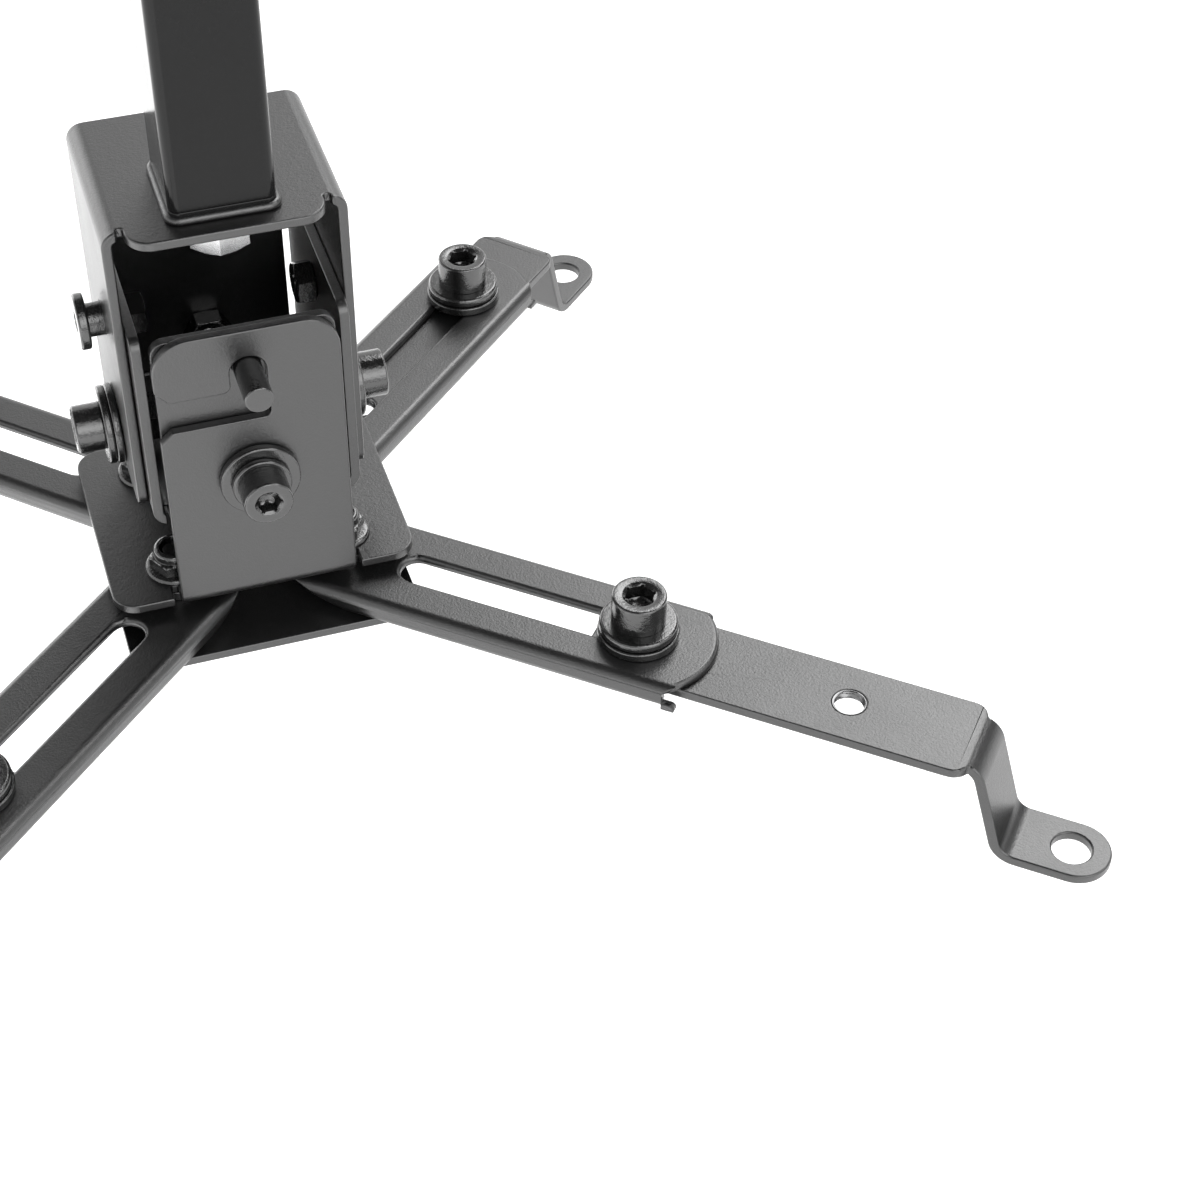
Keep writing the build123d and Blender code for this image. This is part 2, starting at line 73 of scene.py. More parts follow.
# %% [markdown]
# The head is measured from the middle of the base plate's top face. That point is found from the
# lower bracket itself, so that it follows the model: the bracket is centred on it in X and Y, and its
# lowest face is one sheet's thickness below it.

# %% Find the head's own origin
SHEET = 1.8 * MM
bracket_low, bracket_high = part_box("lower_bracket")
middle = (bracket_low + bracket_high) / 2
head = Vector((middle.x, middle.y, bracket_low.z + SHEET))
print("head origin, mm:", [round(v / MM, 2) for v in head])

# %% [markdown]
# The camera stands where the photographer stood. Its place and its angles were worked out from the
# straight edges of the folded plates, whose sizes are known. The lens is long, so the arms keep
# almost the same scale near and far.

# %% Place the camera
CAMERA_FROM_HEAD = Vector((-51.16, -356.5, 310.26)) * MM
CAMERA_YAW = math.radians(19.02)
CAMERA_DOWN = math.radians(43.38)
CAMERA_ROLL = math.radians(1.06)
LENS_MM = 74.76
SENSOR_MM = 36.0
NEAREST_SEEN = 10 * MM


def camera_axes(yaw, down, roll):
    """The camera's right, up and backward directions as a rotation."""
    flat = math.cos(down)
    forward = Vector((math.sin(yaw) * flat, math.cos(yaw) * flat, -math.sin(down)))
    level = Vector((math.cos(yaw), -math.sin(yaw), 0.0))
    upright = level.cross(forward)
    right = level * math.cos(roll) + upright * math.sin(roll)
    up = upright * math.cos(roll) - level * math.sin(roll)
    return Matrix((right, up, -forward)).transposed()


scene = bpy.context.scene
camera_data = bpy.data.cameras.new("camera")
camera_data.lens = LENS_MM
camera_data.sensor_width = SENSOR_MM
camera_data.sensor_height = SENSOR_MM
camera_data.sensor_fit = "HORIZONTAL"
camera_data.clip_start = NEAREST_SEEN
camera = bpy.data.objects.new("camera", camera_data)
camera.matrix_world = (
    Matrix.Translation(head + CAMERA_FROM_HEAD)
    @ camera_axes(CAMERA_YAW, CAMERA_DOWN, CAMERA_ROLL).to_4x4()
)
scene.collection.objects.link(camera)
scene.camera = camera
print("camera:", round(CAMERA_FROM_HEAD.length / MM), "mm from the head")

# %% [markdown]
# Materials and geometry trees are both made of nodes. This small class wraps one output socket, so
# that adding or multiplying two of them adds the Math node that does it, and a pattern reads like a
# formula. Every other node comes from the same method: its type, its settings, its sockets.


# %% A wrapper for sockets
class Wire:
    """One output socket with arithmetic."""

    def __init__(self, recipe, socket):
        self.recipe = recipe
        self.socket = socket

    def math(self, operation, *others):
        """A Math node on this socket and on whatever else the operation takes."""
        return self.recipe.math(operation, self, *others)

    def __add__(self, other):
        return self.math("ADD", other)

    def __radd__(self, other):
        return self.recipe.math("ADD", other, self)

    def __sub__(self, other):
        return self.math("SUBTRACT", other)

    def __rsub__(self, other):
        return self.recipe.math("SUBTRACT", other, self)

    def __mul__(self, other):
        return self.math("MULTIPLY", other)

    def __rmul__(self, other):
        return self.recipe.math("MULTIPLY", other, self)

    def __truediv__(self, other):
        return self.math("DIVIDE", other)

    def __rtruediv__(self, other):
        return self.recipe.math("DIVIDE", other, self)


class Outputs:
    """The outputs of one node, taken by name."""

    def __init__(self, recipe, made):
        self.recipe = recipe
        self.made = made

    def __getitem__(self, name):
        return Wire(self.recipe, self.made.outputs[name])


class Recipe:
    """One node tree being written."""

    def __init__(self, tree):
        self.tree = tree

    def node(self, kind, settings=None, sockets=None):
        """Add a node: its settings first, then the values or links of its sockets."""
        made = self.tree.nodes.new(kind)
        for key, value in (settings or {}).items():
            setattr(made, key, value)
        for key, value in (sockets or {}).items():
            self.feed(made.inputs[key], value)
        return Outputs(self, made)

    def feed(self, socket, value):
        """Link a wrapped socket, or set a plain value."""
        if isinstance(value, Wire):
            self.tree.links.new(value.socket, socket)
        else:
            socket.default_value = value

    def math(self, operation, *values):
        """The result of a new Math node."""
        settings, sockets = {"operation": operation}, dict(enumerate(values))
        return self.node("ShaderNodeMath", settings, sockets)["Value"]


# %% [markdown]
# All the finishes start in the same way. Their patterns are solid noise on Object coordinates, so
# they run on round a fold, and what they change is the shade, the gloss and the height of the
# surface. These four helpers hold what is common to them.


# %% Helpers for finishes
def finish_named(name):
    """A new material with its recipe, its shader and the coordinates of its patterns."""
    material = bpy.data.materials.new(name)
    material.use_nodes = True
    recipe = Recipe(material.node_tree)
    shader = material.node_tree.nodes["Principled BSDF"]
    place = recipe.node("ShaderNodeTexCoord")["Object"]
    return material, recipe, shader, place


def noise(recipe, place, size, detail=2.0, roughness=0.5):
    """Noise whose grains are about the given size."""
    sockets = {"Vector": place, "Scale": 1.0 / size, "Detail": detail, "Roughness": roughness}
    return recipe.node("ShaderNodeTexNoise", {}, sockets)["Fac"]


def grey(recipe, tint, blue=1.0):
    """A grey from one number, with a little more blue if the finish is cold."""
    sockets = {"Red": tint, "Green": tint, "Blue": tint * blue}
    return recipe.node("ShaderNodeCombineColor", {}, sockets)["Color"]


def raise_surface(recipe, shader, height, depth):
    """Let a height from 0 to 1 raise the surface by up to a depth in metres."""
    sockets = {"Height": height, "Strength": 1.0, "Distance": depth}
    recipe.feed(shader.inputs["Normal"], recipe.node("ShaderNodeBump", {}, sockets)["Normal"])


# %% [markdown]
# The coat is a thin satin black film. It has almost no colour of its own and mirrors the room softly,
# more at a glancing angle. Seen close it has the fine grain of baked powder over a slower orange
# peel, and its gloss varies a little from place to place. One flat dark colour would look like
# plastic, so three noises of different sizes make the grain, the peel and the change in gloss. The
# column is painted smoother.

# %% The satin black powder coat
GRAIN, ORANGE_PEEL, GLOSS_PATCH = 0.44 * MM, 1.6 * MM, 11.0 * MM


def powder_coat(name, shade, gloss, grain_depth, index, mirror=0.5):
    """A coat by its shade, its roughness, the depth of its grain and how much it mirrors."""
    material, recipe, shader, place = finish_named(name)
    grain = noise(recipe, place, GRAIN, 3.0, 0.65)
    peel = noise(recipe, place, ORANGE_PEEL, 1.0)
    patches = noise(recipe, place, GLOSS_PATCH, 3.0)
    tint = shade * 0.6 + grain * (shade * 0.8)
    recipe.feed(shader.inputs["Base Color"], grey(recipe, tint, 1.02))
    roughness = gloss + (patches - 0.5) * 0.08 + (grain - 0.5) * 0.10
    recipe.feed(shader.inputs["Roughness"], roughness)
    shader.inputs["IOR"].default_value = index
    shader.inputs["Specular IOR Level"].default_value = mirror
    raise_surface(recipe, shader, grain * 0.7 + peel * 0.2, grain_depth)
    return material


COAT_SHADE = 0.006
black_coat = powder_coat("satin_black_powder_coat", COAT_SHADE, 0.32, 0.080 * MM, 1.85)
gloss_paint = powder_coat("gloss_black_column_paint", COAT_SHADE, 0.16, 0.010 * MM, 1.45, 0.28)
print("coats:", black_coat.name, gloss_paint.name)

# %% [markdown]
# The screws and washers are black zinc plate, much glossier than the coat, and a little lumpy, as
# rough forged heads are under plate. The swivel nut is plain bright zinc with fine marks from
# turning. Thread steel shows in the empty threaded holes, its colour painted dark as the shade
# inside the hole. Black plate is made as a dark film with a high index and the bright ones as bare
# metal, because black zinc mirrors without colour.

# %% The plated fasteners
LUMPS, PITS = 0.8 * MM, 0.30 * MM
TURNING_MARKS, STAINS, MARK_DEPTH = 0.35 * MM, 3.0 * MM, 0.006 * MM
BLACK_ZINC_INDEX = 1.9


def black_plate(name, shade, gloss, lump_depth):
    """Black plate over a lumpy forged surface."""
    material, recipe, shader, place = finish_named(name)
    lumps = noise(recipe, place, LUMPS, 2.0, 0.55)
    pits = noise(recipe, place, PITS, 3.0, 0.6)
    shader.inputs["Base Color"].default_value = (shade, shade, shade, 1.0)
    shader.inputs["IOR"].default_value = BLACK_ZINC_INDEX
    recipe.feed(shader.inputs["Roughness"], gloss + (pits - 0.5) * 0.10)
    raise_surface(recipe, shader, lumps + pits * 0.6, lump_depth)
    return material


def bright_plate(name, shade, gloss):
    """Bare bright metal with marks from turning and faint stains."""
    material, recipe, shader, place = finish_named(name)
    marks = noise(recipe, place, TURNING_MARKS, 4.0, 0.6)
    stains = noise(recipe, place, STAINS, 3.0)
    tint = shade * 0.85 + stains * (shade * 0.3)
    recipe.feed(shader.inputs["Base Color"], grey(recipe, tint, 1.01))
    shader.inputs["Metallic"].default_value = 1.0
    recipe.feed(shader.inputs["Roughness"], gloss + (marks - 0.5) * 0.2)
    raise_surface(recipe, shader, marks, MARK_DEPTH)
    return material


black_zinc = black_plate("black_zinc", 0.006, 0.08, 0.055 * MM)
bright_zinc = bright_plate("bright_zinc", 0.70, 0.24)
# The thread's steel gets a dark colour: painted shade for the inside of the hole, darker than bare
# steel.
thread_steel = bright_plate("thread_painted_dark", 0.20, 0.28)
print("plates:", black_zinc.name, bright_zinc.name, thread_steel.name)

# %% [markdown]
# A folded sheet has no sharp edge: the coat rounds it, and that thin round line catches the light all
# along the outline. The CAD solids have sharp edges, so each sheet is copied, its loose triangles are
# merged into whole faces, and its sharp edges are marked for a bevel. The inner half of each arm's
# two toes stands below the wall's rounded bend, so it is pulled out to where the wall ends.

# %% Copy a CAD piece as whole faces
SAME_POINT = 0.001 * MM
FLAT_WITHIN = math.radians(0.5)
SHARP_FROM = math.radians(35)
TOE_REACH, TOE_HEIGHT = 2.4 * MM, 1.2 * MM
TOE_PLAY = 0.05 * MM


def body_of(name):
    """The body that a CAD node rides on."""
    for body, members in frame["record"]["behaviour"]["bodies"].items():
        if name in members:
            return body
    raise KeyError(name)


def trim_toes(shape, name):
    """Pull the inner ends of an arm's two toes out to where its walls end."""
    bottom = min(vert.co.z for vert in shape.verts)
    pivot_low, pivot_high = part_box(name.replace("_arm", "_pivot_nut"))
    screw_low, screw_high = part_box(name + "_screw")
    pivot, screw = (pivot_low + pivot_high) / 2, (screw_low + screw_high) / 2
    along = Vector((screw.x - pivot.x, screw.y - pivot.y, 0.0)).normalized()
    lowest = [vert for vert in shape.verts if vert.co.z < bottom + TOE_HEIGHT + TOE_PLAY]
    tip = max(vert.co.dot(along) for vert in lowest)
    for vert in lowest:
        if abs(tip - vert.co.dot(along) - 2 * TOE_REACH) < TOE_PLAY:
            vert.co += along * (TOE_REACH - TOE_PLAY)


def merged_copy(name, upper_share, lower_share):
    """A copy of a CAD node with its triangles joined into flat faces and its edges marked."""
    mesh = nodes[name].data.copy()
    shape = bmesh.new()
    shape.from_mesh(mesh)
    bmesh.ops.remove_doubles(shape, verts=shape.verts, dist=SAME_POINT)
    whole = {"verts": shape.verts, "edges": shape.edges, "use_dissolve_boundaries": False}
    bmesh.ops.dissolve_limit(shape, angle_limit=FLAT_WITHIN, **whole)
    if name.endswith("_arm"):
        trim_toes(shape, name)
    weight = shape.edges.layers.float.new("bevel_weight_edge")
    top = max(vert.co.z for vert in shape.verts) - 0.01 * MM
    for edge in shape.edges:
        if edge.is_manifold and edge.calc_face_angle() > SHARP_FROM:
            upper = all(vert.co.z > top for vert in edge.verts)
            edge[weight] = upper_share if upper else lower_share
    shape.to_mesh(mesh)
    shape.free()
    return mesh


# %% [markdown]
# A piece whose modifiers are live isn't finished. It is evaluated and turned into a plain mesh, one
# material is put on it, and it is then handed over: it rides on the body of the CAD node that it
# replaces. Weighted normals keep wide faces flat, so that only a narrow bevel shades as round.


# %% Finish a piece and hand it over
def settled(piece, material):
    """Turn a piece with live modifiers into a plain mesh with one material."""
    bpy.context.view_layer.update()
    seen = piece.evaluated_get(bpy.context.evaluated_depsgraph_get())
    result = bpy.data.meshes.new_from_object(seen)
    piece.modifiers.clear()
    piece.data = result
    result.materials.clear()
    result.materials.append(material)
    return piece


def flat_faced(piece, material, keep_sharp=False):
    """Weigh the normals of a piece by the area of its faces."""
    weigh = piece.modifiers.new("flat_faces", "WEIGHTED_NORMAL")
    weigh.weight = 100
    weigh.keep_sharp = keep_sharp
    return settled(piece, material)


def stand_in(piece, names):
    """Let a finished piece ride where the CAD nodes ride, and stand for them."""
    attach(piece, body_of(names[0]))
    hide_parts(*names)


# %% [markdown]
# The bevel gets one radius for the edges of a sheet's top face and one for all the others. An arm is
# rounded on top alone, because the corners inside its lips are too tight for a bevel. Where three
# folds meet, a bevel can throw out a spike, so every point is held inside the box of its CAD solid.

# %% Round the sheets
ARM_NAMES = ["front_right", "front_left", "back_right", "back_left"]
EDGE_RADIUS = {
    "ceiling_plate": (0.4, 0.4),
    "column_tube": (0.25, 0.25),
    "column_end_plate": (0.25, 0.25),
    "yoke": (0.4, 0.4),
    "cross_bracket": (0.2, 0.2),
    "lower_bracket": (0.3, 0.3),
    "bottom_plate": (0.3, 0.3),
}
EDGE_RADIUS.update({name + "_arm": (0.0, 0.9) for name in ARM_NAMES})
EDGE_RADIUS.update({name + "_extension": (0.4, 0.4) for name in ARM_NAMES})


def rounded_sheet(name, radius, upper_radius, coat):
    """A CAD sheet with its edges rounded, those of its top face by a radius of their own."""
    widest = max(radius, upper_radius)
    mesh = merged_copy(name, upper_radius / widest, radius / widest)
    mesh.shade_smooth()
    piece = bpy.data.objects.new(name + "_coated", mesh)
    scene.collection.objects.link(piece)
    bevel = piece.modifiers.new("rounding", "BEVEL")
    bevel.width = widest
    bevel.segments = 3
    bevel.limit_method = "WEIGHT"
    bevel.use_clamp_overlap = False
    bevel.miter_outer = "MITER_ARC"
    settled(piece, coat)
    low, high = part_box(name)
    for vert in piece.data.vertices:
        vert.co = [min(max(vert.co[k], low[k]), high[k]) for k in range(3)]
    flat_faced(piece, coat)
    stand_in(piece, [name])
    return piece


faces = 0
for name, (radius, upper_radius) in EDGE_RADIUS.items():
    coat = gloss_paint if name.startswith("column") else black_coat
    faces += len(rounded_sheet(name, radius * MM, upper_radius * MM, coat).data.polygons)
print("rounded sheets:", len(EDGE_RADIUS), "with", faces, "faces")

# %% [markdown]
# Two Geometry Nodes trees follow, one for turned parts and one for weld beads. Both start with named
# inputs for their sizes and end with real geometry in its finish, because the export drops
# instances. A modifier's inputs are set by the sockets' identifiers, not by their names.


# %% Helpers for geometry trees
def new_tree(name, inputs, output):
    """A geometry tree with named inputs and one output, and its recipe."""
    tree = bpy.data.node_groups.new(name, "GeometryNodeTree")
    for title, kind in inputs.items():
        tree.interface.new_socket(title, in_out="INPUT", socket_type="NodeSocket" + kind)
    tree.interface.new_socket(output, in_out="OUTPUT", socket_type="NodeSocketGeometry")
    return tree, Recipe(tree)


def at_place(made, geometry, x, y, z):
    """Move every point of a geometry to a place of its own."""
    place = made.node("ShaderNodeCombineXYZ", {}, {"X": x, "Y": y, "Z": z})["Vector"]
    sockets = {"Geometry": geometry, "Position": place}
    return made.node("GeometryNodeSetPosition", {}, sockets)["Geometry"]


def real_in_finish(made, geometry, finish):
    """Realize what a tree has made and give it its material."""
    real = made.node("GeometryNodeRealizeInstances", {}, {"Geometry": geometry})["Geometry"]
    sockets = {"Geometry": real, "Material": finish}
    return made.node("GeometryNodeSetMaterial", {}, sockets)["Geometry"]


def run_tree(piece, tree, given):
    """Put a tree on a piece, with its inputs set."""
    modifier = piece.modifiers.new(tree.name, "NODES")
    modifier.node_group = tree
    for item in tree.interface.items_tree:
        if item.in_out == "INPUT" and item.name in given:
            modifier[item.identifier] = given[item.name]


# %% [markdown]
# Screws, nuts, washers and pins are all turned on a lathe, some with flats milled afterwards. One
# Geometry Nodes tree turns them all. A row of points gives the section from the tip to the top: its
# radius, the half width of the flats, its height, and how deep the thread cuts. A grid is wrapped
# round the axis, one row for each point, and the part is set down on every station. Cylinders put
# together would be quicker to make, but here a socket, a thread or a rolled rim is only a few rows.


# %% The tree that turns round parts
def turning_tree():
    """A tree that turns one section at every station."""
    inputs = {"Stations": "Geometry", "Section": "Object", "Steps Round": "Int",
              "Thread Pitch": "Float", "Finish": "Material"}
    tree, made = new_tree("turned_part", inputs, "Part")
    given = made.node("NodeGroupInput")
    steps = given["Steps Round"]
    section = made.node("GeometryNodeObjectInfo", {}, {"Object": given["Section"]})["Geometry"]
    size = made.node("GeometryNodeAttributeDomainSize", {}, {"Geometry": section})
    rows = size["Point Count"]
    grid = made.node("GeometryNodeMeshGrid", {}, {"Vertices X": steps + 1, "Vertices Y": rows})
    index = made.node("GeometryNodeInputIndex")["Index"]
    step = (index / rows).math("FLOOR")

    def named(attribute, kind):
        """An attribute read by its name."""
        settings, sockets = {"data_type": kind}, {"Name": attribute}
        return made.node("GeometryNodeInputNamedAttribute", settings, sockets)["Attribute"]

    def of_row(value, kind):
        """A value of the section's row that belongs to a point of the grid."""
        sockets = {"Geometry": section, "Value": value, "Index": index.math("MODULO", rows)}
        return made.node("GeometryNodeSampleIndex", {"data_type": kind}, sockets)["Value"]

    spot = of_row(made.node("GeometryNodeInputPosition")["Position"], "FLOAT_VECTOR")
    cut = of_row(named("cut", "FLOAT"), "FLOAT")
    parts = made.node("ShaderNodeSeparateXYZ", {}, {"Vector": spot})
    radius, flats, height = parts["X"], parts["Y"], parts["Z"]
    turn = step / steps
    off_flat = ((turn * 6.0).math("FRACT") - 0.5) * (math.pi / 3)
    limit = flats / off_flat.math("COSINE")
    groove = (height / given["Thread Pitch"] - turn).math("FRACT") * 2.0 - 1.0
    reach = radius.math("MINIMUM", limit) - cut * groove.math("ABSOLUTE")
    angle = turn * math.tau
    x, y = reach * angle.math("COSINE"), reach * angle.math("SINE")
    sockets = {"Geometry": at_place(made, grid["Mesh"], x, y, height), "Distance": 1e-6}
    closed = made.node("GeometryNodeMergeByDistance", {}, sockets)["Geometry"]
    sockets = {"Euler": named("turned", "FLOAT_VECTOR")}
    aim = made.node("FunctionNodeEulerToRotation", {}, sockets)["Rotation"]
    sockets = {"Points": given["Stations"], "Instance": closed, "Rotation": aim}
    placed = made.node("GeometryNodeInstanceOnPoints", {}, sockets)["Instances"]
    part = real_in_finish(made, placed, given["Finish"])
    made.node("NodeGroupOutput", {}, {"Part": part})
    return tree


turned_part = turning_tree()
print("lathe:", len(turned_part.nodes), "nodes")

# %% [markdown]
# A station is a point with an angle: where the lower end of the part stands, and which way its head
# points. Each one is read from the box of the CAD solid that the part replaces, so the fasteners
# follow the model.

# %% Stations read from the CAD boxes
QUARTER = math.pi / 2
AIMS = {
    "up": ((0, 0, 1), (0.0, 0.0, 0.0)),
    "down": ((0, 0, -1), (math.pi, 0.0, 0.0)),
    "left": ((-1, 0, 0), (0.0, -QUARTER, 0.0)),
    "right": ((1, 0, 0), (0.0, QUARTER, 0.0)),
    "front": ((0, -1, 0), (QUARTER, 0.0, 0.0)),
    "back": ((0, 1, 0), (-QUARTER, 0.0, 0.0)),
}


def length_of(name, aim):
    """How long a CAD solid is in the direction in which it points."""
    low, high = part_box(name)
    return abs((high - low).dot(Vector(AIMS[aim][0])))


def foot_of(name, aim):
    """The middle of a CAD solid's lower end, seen in the direction in which it points."""
    low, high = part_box(name)
    return (low + high) / 2 - Vector(AIMS[aim][0]) * (length_of(name, aim) / 2)


def points_object(name, points, attribute, values, kind):
    """A mesh of loose points with one attribute, which a tree can read."""
    mesh = bpy.data.meshes.new(name)
    mesh.from_pydata([tuple(point) for point in points], [], [])
    column = mesh.attributes.new(attribute, kind, "POINT")
    for item, value in zip(column.data, values):
        if kind == "FLOAT":
            item.value = value
        else:
            item.vector = value
    return bpy.data.objects.new(name, mesh)


tip = foot_of("front_right_arm_screw", "up")
print("tip of the front right screw, mm:", [round(v / MM, 1) for v in tip])

# %% [markdown]
# To turn a part, its stations become the piece itself and its section a guide beside it. The tree
# runs, the result is settled, and the guide is removed. Edges sharper than 40 degrees stay sharp, so
# the milled flats of a hexagon keep their corners.

# %% Turn a part at its stations
M4, M5, M6 = 2.0 * MM, 2.5 * MM, 3.0 * MM
M4_PITCH, M5_PITCH, M6_PITCH = 0.7 * MM, 0.8 * MM, 1.0 * MM
STEPS_ROUND = 72
STAY_SHARP = math.radians(40)


def turned_piece(name, aim, section, material, pitch, stations, spin=0.0):
    """Turn one section at its stations."""
    angle = Vector(AIMS[aim][1]) + Vector((0.0, 0.0, spin))
    piece = points_object(name, stations, "turned", [angle] * len(stations), "FLOAT_VECTOR")
    scene.collection.objects.link(piece)
    rows = [(radius, flats, height) for radius, flats, height, cut in section]
    cuts = [cut for radius, flats, height, cut in section]
    guide = points_object(name + "_section", rows, "cut", cuts, "FLOAT")
    given = {"Section": guide, "Steps Round": STEPS_ROUND, "Thread Pitch": pitch}
    run_tree(piece, turned_part, {**given, "Finish": material})
    settled(piece, material)
    bpy.data.objects.remove(guide)
    piece.data.shade_smooth()
    piece.data.set_sharp_from_angle(angle=STAY_SHARP)
    return flat_faced(piece, material, keep_sharp=True)


def dark_part(node, aim, section, pitch=M6_PITCH, stations=None):
    """A black fastener, turned where its CAD node is and standing for it."""
    stations = stations or [foot_of(node, aim)]
    piece = turned_piece(node + "_turned", aim, section, black_zinc, pitch, stations)
    stand_in(piece, [node])
    return piece


def bright_part(node, section, spin=0.0):
    """A bright part of the swivel, turned where its CAD node is and standing for it."""
    stations = [foot_of(node, "up")]
    piece = turned_piece(node + "_turned", "up", section, bright_zinc, M6_PITCH, stations, spin)
    stand_in(piece, [node])
    return piece


# %% [markdown]
# A section is written in rows of radius, flats, height and thread depth. A corner of the section is
# rounded by a few rows on an arc, and a thread needs several rows in each turn.

# %% Words for writing a section
ROUND = 1.0
ROWS_A_TURN = 8
THREAD_DEPTH = 0.55
HEX_CORNER = 1 / math.cos(math.pi / 6)


def row(radius, height, flats=ROUND, cut=0.0):
    """One row of a section. Flats as wide as ROUND cut nothing off."""
    return (radius, flats, height, cut)


def arc(radius, height, size, start, steps=4):
    """Rows round a quarter circle, centred inside the corner, from a start angle in degrees."""
    rows = []
    for k in range(steps + 1):
        angle = math.radians(start + 90 * k / steps)
        rows.append(row(radius + size * math.cos(angle), height + size * math.sin(angle)))
    return rows


def thread(radius, start, end, pitch, depth):
    """Rows up a thread, with the cut fading out at its top."""
    count = max(2, round((end - start) / pitch * ROWS_A_TURN))
    rows = []
    for k in range(count + 1):
        height = start + (end - start) * k / count
        fade = min(1.0, (count - k) / ROWS_A_TURN)
        rows.append(row(radius, height, cut=depth * fade))
    return rows


def shank(radius, length, pitch, threaded):
    """A shank from the middle of its tip up to where the head starts."""
    depth = THREAD_DEPTH * pitch
    tip = radius - depth
    rows = [row(0.0, 0.0), row(tip - 0.1 * MM, 0.0), row(tip, 0.15 * MM)]
    rows += thread(radius, 0.4 * MM, min(threaded, length - 0.3 * MM), pitch, depth)
    return rows + [row(radius, length)]


# %% [markdown]
# The heads of socket screws are cylinders with a round upper rim and a small chamfer round the
# hexagon. The flats of the socket are the same milled flats as a nut's, seen from inside.

# %% Sections of heads, rings and nuts
FOOT_RIM, LARGEST_RIM = 0.15 * MM, 0.45 * MM
SOCKET_DEPTH = 0.55
RING_RIM = 0.12 * MM
NUT_FACE = 0.96
NUT_SLOPE = 0.58
NUT_ROWS_A_TURN = 6
CORNER_ROWS = 5


def socket_head(seat, radius, height, socket):
    """A cylindrical head with rounded rims and a hexagon socket."""
    top = seat + height
    across = socket / 2
    corner = across * HEX_CORNER
    rim = min(LARGEST_RIM, height / 6)
    floor_level = top - SOCKET_DEPTH * height
    rows = arc(radius - FOOT_RIM, seat + FOOT_RIM, FOOT_RIM, -90, steps=2)
    rows += arc(radius - rim, top - rim, rim, 0)
    rows += [row(corner + 0.35 * MM, top), row(corner + 0.18 * MM, top - 0.08 * MM)]
    rows += [row(2 * corner, top - 0.45 * MM, across)]
    rows += [row(2 * corner, floor_level + 0.3 * MM, across)]
    rows += [row(across * 0.9, floor_level), row(across * 0.5, floor_level - 0.1 * MM)]
    return rows + [row(0.0, floor_level - 0.5 * MM)]


def cap_screw(length, radius, pitch, head_radius, head_height, socket, threaded):
    """A whole socket screw: the shank and the head."""
    seat = length - head_height
    head_rows = socket_head(seat, head_radius, head_height, socket)
    return shank(radius, seat, pitch, threaded) + head_rows


def ring(outer, bore, thick, rim):
    """A washer whose outer rim is rounded."""
    small = min(RING_RIM, thick / 6)
    rows = [row(bore, small), row(bore + small, 0.0)]
    rows += arc(outer - rim, rim, rim, -90)
    rows += arc(outer - rim, thick - rim, rim, 0)
    rows += [row(bore + small, thick), row(bore, thick - small), row(bore, small)]
    return rows


def nut(across, thick, bore, pitch):
    """A hexagon nut with turned corners and a threaded bore."""
    half = across / 2
    corner, face = half * HEX_CORNER, half * NUT_FACE
    slope = (corner - half) * NUT_SLOPE
    depth = 0.5 * pitch
    below = []
    for k in range(1, CORNER_ROWS + 1):
        reach, rise = (corner - face) * k / CORNER_ROWS, slope * k / CORNER_ROWS
        below.append(row(face + reach, rise, half))
    above = [row(radius, thick - height, half) for radius, flats, height, cut in reversed(below)]
    rows = [row(bore + 0.5 * MM, 0.0), row(face, 0.0)] + below + above
    rows += [row(face, thick), row(bore + 0.5 * MM, thick)]
    count = max(8, round(thick / pitch * NUT_ROWS_A_TURN))
    high, low = thick - 0.4 * MM, 0.4 * MM
    rows += [row(bore, high - (high - low) * k / count, cut=-depth) for k in range(count + 1)]
    return rows + [row(bore + 0.5 * MM, 0.0)]


# %% [markdown]
# The screws on the arms are M6 and those on the head M5, as their sockets and heads show. Each kind
# has one set of sizes for its head. The length comes from the CAD solid, so a longer screw there is
# a longer screw here.

# %% Socket screws
SIDES = (("left", "tilt"), ("right", "tilt"), ("front", "roll"), ("back", "roll"))
M6_HEAD = {"head_radius": 5.0 * MM, "head_height": 6.0 * MM, "socket": 5.0 * MM}
M5_HEAD = {"head_radius": 4.35 * MM, "head_height": 5.0 * MM, "socket": 4.0 * MM}
screws = []
for name in ARM_NAMES:
    node = name + "_arm_screw"
    section = cap_screw(length_of(node, "up"), M6, M6_PITCH, threaded=4.0 * MM, **M6_HEAD)
    screws.append(dark_part(node, "up", section, M6_PITCH))
for side, joint in SIDES:
    node = "%s_%s_bolt" % (side, joint)
    section = cap_screw(length_of(node, side), M5, M5_PITCH, threaded=6.0 * MM, **M5_HEAD)
    screws.append(dark_part(node, side, section, M5_PITCH))
print("socket screws:", len(screws), "with", len(screws[0].data.polygons), "faces each or so")

# %% [markdown]
# The washers are plain rings with rolled rims, which draw a bright line round each screw. A flat
# cylinder with a hole would have no such line, so each ring's section has an arc at both rims.

# %% Washers
WASHER_PLAY = 0.2 * MM
ARM_WASHERS = {"_lower_washer": 0.35 * MM, "_upper_washer": 0.7 * MM}
HEAD_WASHER_RIM = 0.4 * MM
washers = []
for name in ARM_NAMES:
    for kind, rim in ARM_WASHERS.items():
        node = name + kind
        low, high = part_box(node)
        section = ring((high.x - low.x) / 2, M6 + WASHER_PLAY, high.z - low.z, rim)
        washers.append(dark_part(node, "up", section))
for side, joint in SIDES:
    for size in ("large", "small"):
        node = "%s_%s_washer_%s" % (side, joint, size)
        low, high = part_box(node)
        thick = length_of(node, side)
        section = ring((high.z - low.z) / 2, M5 + WASHER_PLAY, thick, HEAD_WASHER_RIM)
        washers.append(dark_part(node, side, section))
print("washers:", len(washers))

